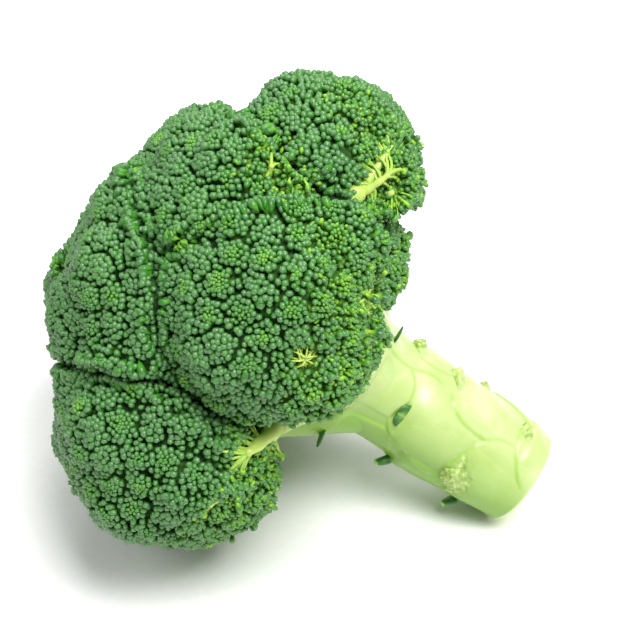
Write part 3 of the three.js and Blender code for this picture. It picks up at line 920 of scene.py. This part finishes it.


# Closed sepals under a coat of wax that looks like breath on glass: satin, dark green below, and paler
# and bluer on the tip, which is partly the wax and partly a painted highlight. Young buds have no wax
# yet. Stalklets are dark where the buds stand tight, and bright yellow-green where the head is loose,
# partly their own colour and partly painted light. Between tight buds the sunk inside is painted dark as
# shade.
bud_skin = new_material("bud_waxy_sepals", IOR=1.5)
bud_place = own_place(bud_skin)
ripe_share, rise, tone = (attribute(bud_skin, name) for name in ("ripeness", "rise", "tone"))
loose_share = mapped(bud_skin, attribute(bud_skin, "loose"), 0.08, 0.6, 0.0, 1.0)
ripe_stops = (0.0, "#88b82c"), (0.3, "#629a28"), (0.6, "#3a7a20"), (1.0, "#1d5c18")
ripe_colour = ramp(bud_skin, ripe_share, *ripe_stops)
toned = mixed(bud_skin, tone, ripe_colour, "#3f7c1e")
toned = mixed(bud_skin, 0.45, ripe_colour, toned)
# Paler, bluer tips: partly the wax bloom and partly a painted highlight.
tip_wax_and_highlight_share = mapped(bud_skin, rise, 0.05, 0.72, 0.0, 0.35)
tip_wax_and_highlight_share = add_node(bud_skin, "ShaderNodeMath", {0: tip_wax_and_highlight_share, 1: ripe_share}, operation="MULTIPLY")
wax_and_painted_highlight = mixed(bud_skin, tip_wax_and_highlight_share, toned, "#86a97e")
foot_colour = mixed(bud_skin, ripe_share, "#79b81c", "#348416")
# Where the head is loose, the stalklets are brighter: partly their own yellow-green, partly painted light
# for the light reaching in among them.
foot_colour = mixed(bud_skin, loose_share, foot_colour, "#92c23a")
bud_colour = mixed(bud_skin, mapped(bud_skin, rise, 0.0, -0.6, 0.0, 1.0), wax_and_painted_highlight, foot_colour)
tangle_inputs = {"Vector": bud_place, "Scale": 620}
tangle = add_node(bud_skin, "ShaderNodeTexVoronoi", tangle_inputs, output="Distance")
# The inside's tangle of stalklets where the head is loose: bright, partly its own colour and partly
# painted light.
loose_tangle_and_painted_light = ramp(bud_skin, tangle, (0.1, "#9ac83c"), (0.35, "#72a628"), (0.62, "#285e10"))
# Painted shade: where the buds stand tight, the inside is a dark tangle, so that it reads as shaded depth
# between them.
tight_tangle_painted_shade = ramp(bud_skin, tangle, (0.1, "#3a8416"), (0.3, "#276c0e"), (0.6, "#113a06"))
deep_colour = mixed(bud_skin, ripe_share, "#86c424", tight_tangle_painted_shade)
deep_colour = mixed(bud_skin, loose_share, deep_colour, loose_tangle_and_painted_light)
bud_colour = mixed(bud_skin, mapped(bud_skin, rise, -0.7, -1.6, 0.0, 1.0), bud_colour, deep_colour)
bud_grain = noise(bud_skin, bud_place, 1400, 2)
wire(
    bud_skin,
    Base_Color=bud_colour,
    Roughness=mapped(bud_skin, rise, -0.1, -1.0, 0.34, 0.85),
    Normal=bumped(bud_skin, bud_grain, 0.35, 0.0004),
)

CORE_ROWS, CORE_COLUMNS = 40, 64
CORE_DEPTH = 2.9


def add_core(buds, shape, youths):
    """The inside that the gaps between the buds show: the floret's skin, sunk below them, dark with
    painted shade where the head is tight and ripe, and yellower under a cluster's young middle."""
    polar = np.linspace(0, 180, CORE_ROWS + 2)[1:-1]
    turns = np.linspace(0, 360, CORE_COLUMNS, endpoint=False)
    polar_grid, turn_grid = np.meshgrid(np.radians(polar), turns, indexing="ij")
    towards = around(turn_grid, np.sin(polar_grid), -np.cos(polar_grid)).reshape(-1, 3) @ shape["turn"].T
    open_here = openness_of(shape, towards)
    raised, away = cluster_relief(shape, towards)
    over_valleys = np.maximum(0, raised - 0.6 * CLUSTER_HEIGHT)
    core = skin_place(shape, towards, CORE_DEPTH + over_valleys + 0.4 * open_here) + shape["middle"]
    edge = young_radius(youths[away.argmin(axis=1)])
    core_youth = 0.7 * smoothstep(edge + 0.8, 0.4 * edge, away.min(axis=1)) * (edge > 0)
    ends = np.array([-shape["axis"], shape["axis"]])
    buds.add(
        core.reshape(CORE_ROWS, CORE_COLUMNS, 3),
        *(shape["middle"] + skin_place(shape, ends, 5.0)),
        ripeness=with_poles(1 - core_youth, 1, 1),
        rise=-2.0,
        loose=with_poles(open_here, 1, 0),
    )


def add_stunted(buds, shape, free, places, luck):
    """Stunted yellow buds, which stand lower down wherever the others leave room in the loose
    places."""
    free = free[openness_of(shape, free) > 0.25]
    free_places = skin_place(shape, free)
    gap = distances_between(free_places, places).min(axis=1)
    free, free_places, gap = (value[gap > 0.9] for value in (free, free_places, gap))
    towards = free[widest_apart(free_places, gap, 1.25)]
    count = len(towards)
    axes = unit(skin_normal(shape, towards) + 0.5 * luck.normal(0, 1, (count, 3)))
    tips = skin_place(shape, towards, 0.5 + 1.0 * luck.random(count)) + shape["middle"]
    sizes = 1.0 + 0.6 * luck.random(count)
    stretch = 1.2 + 0.8 * luck.random(count)
    add_buds(
        buds,
        YOUNG_PROFILE,
        tips,
        axes,
        tips - 2.5 * axes,
        sizes,
        stretch,
        ripeness=0.45 * luck.random(count),
        tone=luck.random(count),
        loose=openness_of(shape, towards),
    )


# The branchlets that show bare in the loose places: where each leaves the inside and where it ends,
# its radius at the two, the stalklets that fan out from its outer part, how long they are, how far
# to each side they fan in degrees, and how far round it no bud stands.
SPRAYS = [
    dict(floret="lower_left", foot=(-86, 45, 83.5), tip=(-89, 61, 89.5), thick=(3.0, 1.3),
         stalklets=46, length=8.0, fan=110, bare=3.2, pale=0.85),
    dict(floret="lower_left", foot=(-86, 4, 58), tip=(-86, 46, 84), thick=(3.4, 3.0),
         stalklets=0, length=0, fan=0, bare=0, pale=0.25),
    dict(floret="lower_left", foot=(-98, 66, 88), tip=(-101, 72, 90), thick=(1.3, 1.0),
         stalklets=14, length=4.5, fan=120, bare=2.0, pale=0.6),
    dict(floret="front", foot=(-57, 62, 95), tip=(-57, 70.0, 96), thick=(1.2, 0.8),
         stalklets=20, length=4.6, fan=180, bare=3.0, pale=0.9),
    dict(floret="front", foot=(-33, 67, 107), tip=(-38, 72, 106), thick=(0.9, 0.6),
         stalklets=8, length=5, fan=90, bare=1.6, pale=0.6),
    dict(floret="front", foot=(-37, 60, 86), tip=(-37, 66.5, 89), thick=(1.0, 0.6),
         stalklets=12, length=6.5, fan=110, bare=1.6, pale=0.6),
    dict(floret="upper_right", foot=(-8, 34, 91), tip=(-22.5, 56, 105.5), thick=(4.6, 4.2),
         stalklets=0, length=0, fan=0, bare=0, pale=0.6),
    dict(floret="upper_right", foot=(-23, 56, 106), tip=(-13, 65.5, 104.5), thick=(4.2, 2.6),
         stalklets=0, length=0, fan=0, bare=3.6, pale=0.9),
    dict(floret="upper_right", foot=(-16, 61, 105), tip=(-7, 69.0, 107.5), thick=(2.2, 1.0),
         stalklets=24, length=6, fan=115, bare=1.5, pale=0.8),
    dict(floret="upper_right", foot=(-15, 62, 104), tip=(-4, 73.0, 103), thick=(2.0, 0.8),
         stalklets=32, length=7, fan=120, bare=1.5, pale=0.8),
    dict(floret="upper_right", foot=(-13, 64, 103), tip=(-9, 71.5, 100), thick=(1.4, 0.7),
         stalklets=20, length=6, fan=120, bare=1.5, pale=0.9),
    dict(floret="top_right", foot=(-24, 56, 126), tip=(-21, 63.5, 129), thick=(1.2, 0.7),
         stalklets=14, length=5, fan=120, bare=2.0, pale=0.7),
]
ALL_ROUND = 180
STALKLET_STEPS = np.linspace(0, 1, 5)
BRANCHLET_STEPS = np.linspace(0, 1, 12)


def spray_of(spray, middle, luck):
    """A bare branchlet and its stalklets, each given as a path, its slopes and its radii. The
    stalklets bend away from the branchlet to both sides, or out of its end all round in a tuft."""
    foot, tip = around(*spray["foot"]), around(*spray["tip"])
    face = unit(tip - middle)
    ahead = unit(tip - foot)
    flat = unit(ahead - np.sum(ahead * face) * face)
    aside = np.cross(face, flat)
    tuft = spray["fan"] == ALL_ROUND
    bend = 0.5 * (foot + tip) + face * 0.08 * np.linalg.norm(tip - foot)
    knots = 1 + 0.13 * np.sin(16 * BRANCHLET_STEPS + 3 * spray["thick"][0])
    thick = knots * np.interp(BRANCHLET_STEPS, (0, 1), spray["thick"])
    branchlet = (*bezier(foot, bend, tip, BRANCHLET_STEPS), thick)
    count = spray["stalklets"]
    back = (not tuft) * luck.random(count)
    side = np.where(np.arange(count) % 2, 1, -1) * (0.2 + 0.8 * back)
    spread = np.linspace(-1, 1, count, endpoint=False) if tuft else side
    turn = np.radians(spread * spray["fan"]) + luck.normal(0, 0.2, count)
    way = np.cos(turn)[:, None] * flat + np.sin(turn)[:, None] * aside
    start = tip - (0.8 * back)[:, None] * (tip - foot)
    length = (spray["length"] * (0.55 + 0.6 * luck.random(count)))[:, None]
    swirl = luck.normal(0, 0.4, (count, 1)) * np.cross(face, way)
    first = face + 0.15 * way + swirl if tuft else 0.6 * flat + 0.4 * way + 0.35 * face + 0.6 * swirl
    end = start + way * length - face * (0.05 + 0.3 * luck.random((count, 1))) * length
    bow = start + (0.4 + 0.2 * luck.random((count, 1))) * length * first
    stalklets = bezier(start[:, None], bow[:, None], end[:, None], STALKLET_STEPS)
    thin = (0.36 if tuft else 0.58) * (1 - 0.35 * STALKLET_STEPS)
    return branchlet, (*stalklets, np.broadcast_to(thin, (count, len(thin))))


def add_spray(twigs, buds, spray, middle, luck):
    """Adds a bare branchlet and its stalklets, with a small bud on the end of each."""
    branchlet, stalklets = spray_of(spray, middle, luck)
    # shaded=0.3 is painted shade: it darkens the bare branchlets and stalklets to a deeper green.
    twigs.tubes(*branchlet, 12, groove=0.3, young=spray["pale"], shaded=0.3)
    count = spray["stalklets"]
    if not count:
        return
    tuft = spray["fan"] == ALL_ROUND
    twigs.tubes(*stalklets, 6, groove=0.9, young=0.8 if tuft else 0.3, shaded=0.3)
    ends, axes = stalklets[0][:, -1], unit(stalklets[1][:, -1])
    wide = (0.8 if tuft else 1.3) + (0.5 if tuft else 0.9) * luck.random(count)
    ripe = (0.15 if tuft else 0.9) * luck.random(count) ** 0.7
    tips, feet = ends + axes * wide[:, None] * 1.2, ends - 0.3 * axes
    tone = luck.random(count)
    add_buds(buds, YOUNG_PROFILE, tips, axes, feet, wide, 1.3, ripeness=ripe, tone=tone, loose=1)


LONE_BUDS = [  # of the front floret, on long stalklets over the stem: tip, foot, width, ripeness
    dict(tip=(-37.5, 69.5, 86.3), foot=(-37, 67, 91.5), width=2.3, ripeness=1.0),
    dict(tip=(-34.5, 67, 83.2), foot=(-36, 64.5, 89), width=2.4, ripeness=1.0),
    dict(tip=(-42, 65.5, 79.0), foot=(-44, 62, 85), width=2.7, ripeness=1.0),
    dict(tip=(-40, 65.5, 81.2), foot=(-40, 61, 85), width=1.3, ripeness=0.8),
    dict(tip=(-39, 69, 86.2), foot=(-38, 66, 90), width=1.2, ripeness=0.2),
    dict(tip=(-41, 69.2, 86.9), foot=(-39, 66, 90.5), width=1.2, ripeness=0.2),
]
LONE_SIDES = 8


def add_lone_bud(buds, bud):
    """Adds one bud that hangs from its foot on a long stalklet."""
    tip, foot = around(*bud["tip"])[None], around(*bud["foot"])[None]
    size, ripe = np.array([bud["width"]]), bud["ripeness"]
    add_buds(
        buds, LOOSE_PROFILE, tip, unit(tip - foot), foot, size, 1.3, LONE_SIDES, ripeness=ripe, loose=1
    )


PRIMARIES = 11


def add_branchlets(twigs, shape, gathers, luck):
    """Adds the branchlets inside: thick ones that fan out from the branch below the dome, and thin
    ones from their ends to where the stalklets of each loose cluster gather."""
    middle, axis, radius = shape["middle"], shape["axis"], shape["radius"]
    start = bezier(*branch_points(shape), np.array(0.86))[0] - middle
    fan = np.arange(PRIMARIES) * 360 / PRIMARIES + luck.normal(0, 6, PRIMARIES)
    ways = around(fan, np.ones(PRIMARIES), luck.normal(0.02, 0.08, PRIMARIES)) @ shape["turn"].T
    ways = unit(ways)
    ends = ways * (0.6 * reach_of(shape, ways, 0))[:, None]
    bends = start + 0.5 * (ends - start) - axis * 0.14 * radius
    along = np.linspace(0, 1, 8)
    place, slope = bezier(start[None, None], bends[:, None], ends[:, None], along)
    thick = np.broadcast_to(0.085 * radius * (1 - 0.45 * along), slope.shape[:2])
    twigs.tubes(place + middle, slope, thick, 9, young=0.75)
    nearest = ends[distances_between(gathers, ends).argmin(axis=1)]
    bends = 0.5 * (nearest + gathers) - axis * 1.5
    along = np.linspace(0, 1, 6)
    place, slope = bezier(nearest[:, None], bends[:, None], gathers[:, None], along)
    thick = np.broadcast_to(1.5 - 0.5 * along, slope.shape[:2])
    twigs.tubes(place + middle, slope, thick, 7, young=0.9)


# The two rounds that fill the gaps among the buds: the least gap, the room between the new buds,
# their width as a share of the gap, and the least width. Ripe buds fill the widest gaps, all the
# buds settle, and smaller ones fill what gaps have opened then.
FILLINGS = [
    dict(least_gap=1.15, room=1.5, share=1.35, least=1.5, settled=True),
    dict(least_gap=1.4, room=1.4, share=1.15, least=1.4, settled=False),
]
SEED = 100
for number, shape in enumerate(SHAPES):
    middle, axis = shape["middle"], shape["axis"]
    luck = np.random.default_rng(SEED + number)
    sprays = [spray for spray in SPRAYS if spray["floret"] == shape["name"]]
    clusters = directions_over(shape, CLUSTER_SPACING)
    clusters = clusters[(clusters @ axis > CLUSTERS_WRAP) & (tightness(shape, clusters) < 1)]
    shape["peaks"] = clusters * reach_of(shape, clusters, 0)[:, None]
    tops, top_normals = skin_place(shape, clusters), skin_normal(shape, clusters)
    top_aside, top_over = sideways_of(top_normals)
    youths = luck.random(len(clusters))
    paleness = 0.2 + 0.5 * luck.random(len(clusters))
    openness = openness_of(shape, clusters) * (0.7 + 0.3 * luck.random(len(clusters)))
    cluster_tone = luck.random(len(clusters))
    cluster_scale = 1 + luck.normal(0, 0.05, len(clusters)) + 0.1 * openness

    # The buds of every cluster's spiral, less those that crowd buds of a nearer cluster.
    towards, sizes, owners = [], [], []
    for i, youth in enumerate(youths):
        out, turn = spiral_of_buds(youth)
        out = out * cluster_scale[i] * (1 + luck.normal(0, 0.06, len(out)))
        turn = turn + luck.random() * 6.28 + luck.normal(0, 0.1, len(turn))
        spread = around(np.degrees(turn), out, 0 * out)
        towards.append(unit(tops[i] + spread[:, :1] * top_aside[i] + spread[:, 1:2] * top_over[i]))
        sizes.append(bud_size(out / cluster_scale[i], youth) * cluster_scale[i])
        owners.append(np.full(len(out), i))
    towards, sizes, owners = np.vstack(towards), np.concatenate(sizes), np.concatenate(owners)
    _, away = cluster_relief(shape, towards)
    beyond = away[np.arange(len(owners)), owners] - away.min(axis=1)
    kept = (beyond < 1.3) & budded(shape, towards)
    towards, sizes, owners, beyond = towards[kept], sizes[kept], owners[kept], beyond[kept]
    places = skin_place(shape, towards)
    kept = ~crowded_out(places, sizes, np.where(beyond < 1e-6, 0, beyond))
    sizes, places, owners = sizes[kept], places[kept], owners[kept]
    every = directions_over(shape, 1.3)
    every = every[budded(shape, every)]
    every_places = skin_place(shape, every)
    for filling in FILLINGS:
        gap = distances_between(every_places, places).min(axis=1)
        wide = gap > filling["least_gap"]
        chosen = np.flatnonzero(wide)[widest_apart(every_places[wide], gap[wide], filling["room"])]
        _, away = cluster_relief(shape, every[chosen])
        widths = np.clip(filling["share"] * gap[chosen], filling["least"], 2.2)
        sizes = np.concatenate([sizes, widths])
        owners = np.concatenate([owners, away.argmin(axis=1)])
        places = np.vstack([places, every_places[chosen]])
        if filling["settled"]:
            places = skin_place(shape, unit(settle(places, sizes)))
    towards = unit(places)
    places, normals = skin_place(shape, towards), skin_normal(shape, towards)
    count = len(sizes)

    # Outer buds of a cluster lean away from its middle, and no two stand quite alike. Where the
    # head is loose, buds are missing, and the others stand at all heights.
    outwards = places - tops[owners]
    distances = np.linalg.norm(outwards, axis=1)
    outwards = unit(outwards - np.sum(outwards * normals, axis=1)[:, None] * normals)
    loose = openness[owners]
    jostle = (0.18 + 0.26 * loose)[:, None] * luck.normal(0, 1, places.shape)
    tight = tightness(shape, towards)[:, None]
    upright = smoothstep(0.86, 1.03, tight) * smoothstep(1.2, 1.06, tight)
    facing = unit(normals * (1 - upright) + towards * upright)
    axes = unit(facing + 0.2 * np.clip(distances / 4.5, 0, 1)[:, None] * outwards + jostle)
    stretch = 1.05 + 0.1 * luck.random(count) + 0.25 * loose
    edge = young_radius(youths[owners])
    ripeness = np.where(edge > 0, smoothstep(0.2 * edge, edge + 2.2, distances), 1)
    ripeness = 1 - paleness[owners] * (1 - ripeness)
    ripeness = ripeness * (1 - 0.2 * luck.random(count)) * (1 - 0.8 * loose * luck.random(count))
    tone = np.clip(0.6 * cluster_tone[owners] + 0.6 * luck.random(count) - 0.1, 0, 1)
    sizes = (1.08 - 0.24 * loose) * sizes * (1 + luck.normal(0, 0.08, count))
    lift = luck.normal(-0.1, 0.24, count) - 1.0 * loose * luck.random(count)
    lift = lift + (luck.random(count) < 0.1 * loose) * (0.6 + 1.0 * luck.random(count))
    places = places + normals * (lift * sizes / 2)[:, None]
    gathers = tops - top_normals * 7.5
    feet = places - axes * (1.87 * sizes * stretch)[:, None]
    feet = feet + (loose * 0.85)[:, None] * (gathers[owners] - feet)
    there = luck.random(count) > 0.25 * smoothstep(0.3, 1, loose)
    for spray in sprays:
        foot, tip = around(*spray["foot"]), around(*spray["tip"])
        line = foot + np.linspace(0, 1, 6)[:, None] * (tip - foot)
        there &= distances_between(places + middle, line).min(axis=1) > spray["bare"]

    buds = Skins("ripeness", "rise", "tone", "loose")
    add_core(buds, shape, youths)
    is_loose = (loose > 0.25) & (sizes > 1.5)
    young = (sizes <= 1.6) & ~is_loose
    kinds = (BUD_PROFILE, ~young & ~is_loose), (YOUNG_PROFILE, young), (LOOSE_PROFILE, is_loose)
    for profile, kind in kinds:
        chosen = there & kind
        add_buds(
            buds,
            profile,
            places[chosen] + middle,
            axes[chosen],
            feet[chosen] + middle,
            sizes[chosen],
            stretch[chosen],
            ripeness=ripeness[chosen],
            tone=tone[chosen],
            loose=loose[chosen],
        )
    add_stunted(buds, shape, every, skin_place(shape, towards[there]), luck)
    twigs = Skins("groove", "young", "scar", "flesh", "shaded")
    for spray in sprays:
        add_spray(twigs, buds, spray, middle, luck)
    if shape["name"] == "front":
        for bud in LONE_BUDS:
            add_lone_bud(buds, bud)
    buds.piece(f"buds_{shape['name']}", bud_skin, "flower_buds", f"floret_{shape['name']}")
    add_branchlets(twigs, shape, gathers[openness > 0.12], luck)
    twigs.piece(f"twigs_{shape['name']}", stalk_skin, "stalk_skin")

# ---- Table, light and camera
# A seamless sheet of white paper under and behind the head. One large soft lamp lights it from
# above and to the right, a weaker one from the left, a third from behind, and an even white room.
PAPER_HALF = 3.0
table_paper = new_material("table_matt_white_paper", Roughness=0.9)
paper_grain = noise(table_paper, own_place(table_paper), 400, 4)
wire(table_paper, Base_Color=ramp(table_paper, paper_grain, (0.0, "#f4f4f2"), (1.0, "#fbfbfa")))
paper_mesh = bpy.data.meshes.new("table_paper")
corners = [(x * PAPER_HALF, y * PAPER_HALF, 0) for x, y in ((-1, -1), (1, -1), (1, 1), (-1, 1))]
paper_mesh.from_pydata(corners, [], [(0, 1, 2, 3)])
paper_mesh.materials.append(table_paper)
paper = bpy.data.objects.new("table_paper", paper_mesh)
bpy.context.collection.objects.link(paper)

world = bpy.data.worlds.new("white_room")
world.use_nodes = True
background = world.node_tree.nodes["Background"]
background.inputs["Color"].default_value = (1, 1, 1, 1)
background.inputs["Strength"].default_value = 0.38
bpy.context.scene.world = world
bpy.context.scene.view_settings.view_transform = "Standard"

AIM = laid(np.array([5.05, 3.76, 80.5]))
VIEW_AZIMUTH, VIEW_ELEVATION, VIEW_DISTANCE = 9.5, 38, 0.6


def facing_from(azimuth, elevation):
    """The direction from the head to a lamp or camera."""
    turn, rise = math.radians(azimuth), math.radians(elevation)
    return np.array([math.sin(turn) * math.cos(rise), -math.cos(turn) * math.cos(rise), math.sin(rise)])


def point_at_head(thing, away):
    """Stands a camera or lamp off from the aim, looking back at it."""
    thing.location = Vector(AIM + away)
    thing.rotation_mode = "QUATERNION"
    thing.rotation_quaternion = Vector(-away).to_track_quat("-Z", "Y")
    bpy.context.collection.objects.link(thing)


for name, azimuth, elevation, distance, size, power in (
    ("key_softbox", 45, 64, 0.9, 0.5, 12.5),
    ("fill_softbox", -75, 40, 1.1, 0.6, 3.0),
    ("back_softbox", 190, 50, 1.0, 0.6, 5),
):
    lamp = bpy.data.lights.new(name, "AREA")
    lamp.size, lamp.energy = size, power
    point_at_head(bpy.data.objects.new(name, lamp), facing_from(azimuth, elevation) * distance)

lens = bpy.data.cameras.new("camera")
lens.lens, lens.sensor_width = 112, 36
camera = bpy.data.objects.new("camera", lens)
point_at_head(camera, facing_from(VIEW_AZIMUTH, VIEW_ELEVATION) * VIEW_DISTANCE)
bpy.context.scene.camera = camera
